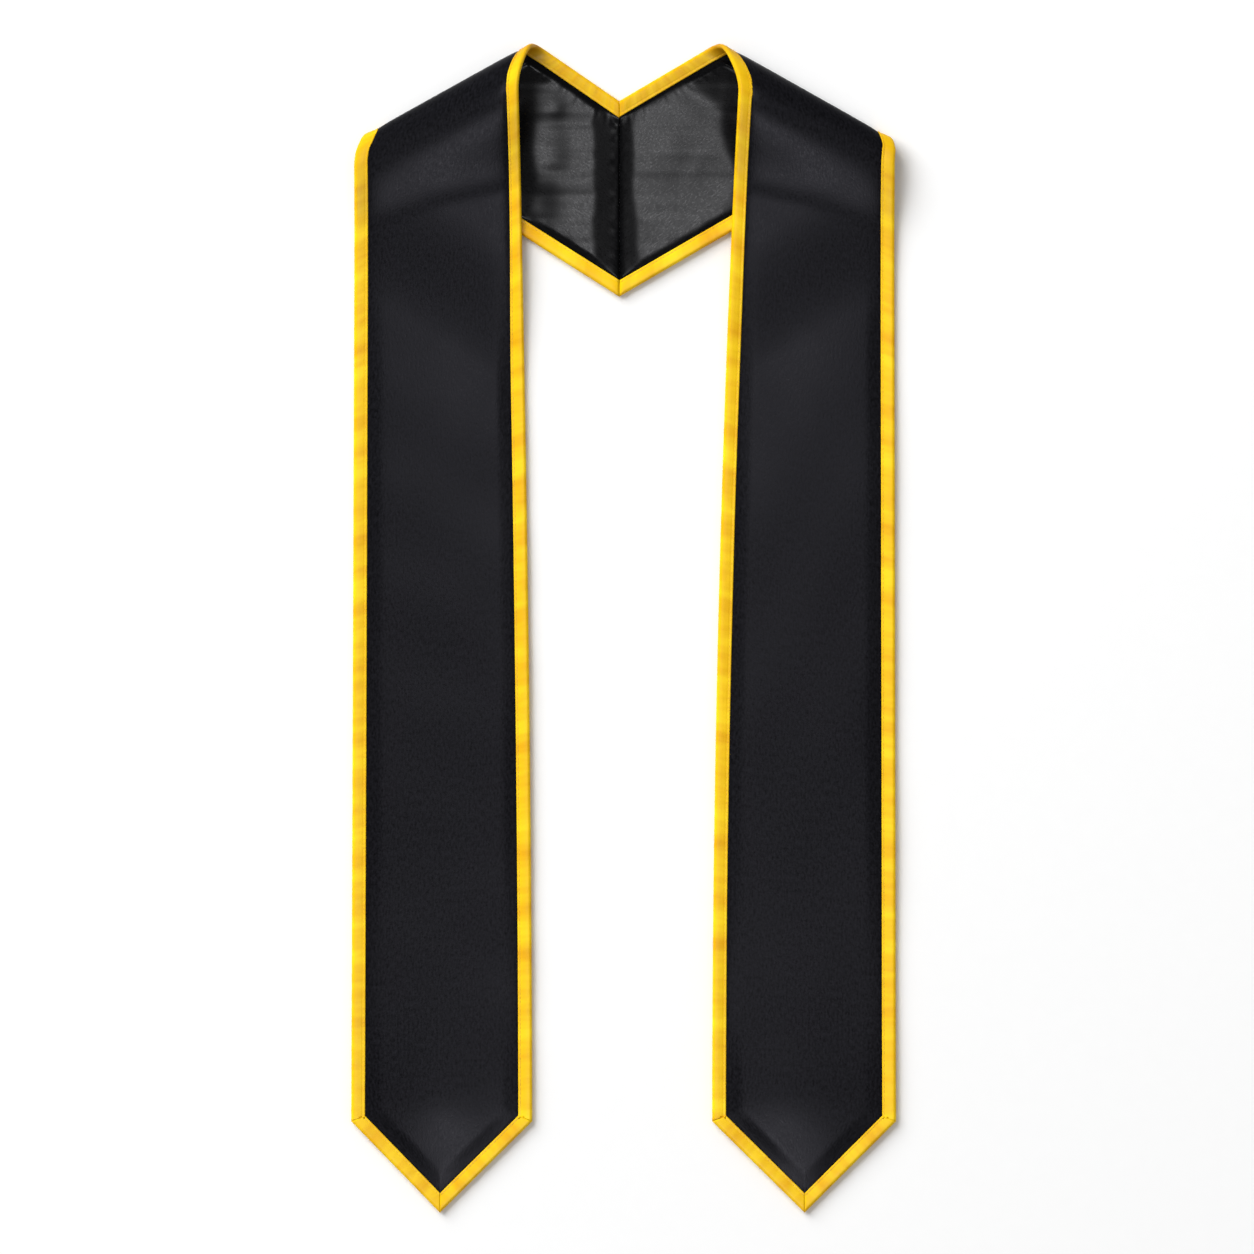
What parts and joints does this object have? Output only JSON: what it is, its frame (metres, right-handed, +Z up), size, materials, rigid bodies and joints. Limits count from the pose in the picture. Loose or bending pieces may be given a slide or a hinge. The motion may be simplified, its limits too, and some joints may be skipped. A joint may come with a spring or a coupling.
{
  "type": "graduation stole",
  "caption": "Long flat satin stole laid out, front panels folded over a V-shaped back at the shoulders, pointed ends, contrast tape bound round every edge.",
  "frame": {"origin": "middle of the stole's outline as it lies, on the surface under it", "axes": "+Y from the points towards the neck, +X across the stole to the right as seen from above, +Z up from the surface"},
  "size_m": [0.3704, 0.7952, 0.0308],
  "materials": {
    "satin": "soft sheen black satin",
    "lining_satin": "glossy black satin",
    "tape_satin": "golden yellow satin tape"
  },
  "bodies": {
    "root": {"left_face": "satin", "right_face": "satin", "left_lining": "lining_satin", "right_lining": "lining_satin", "left_outer_binding": "tape_satin", "right_outer_binding": "tape_satin", "left_neck_binding": "tape_satin", "right_neck_binding": "tape_satin", "left_point_outer_binding": "tape_satin", "right_point_outer_binding": "tape_satin", "left_point_inner_binding": "tape_satin", "right_point_inner_binding": "tape_satin"}
  },
  "joints": []
}
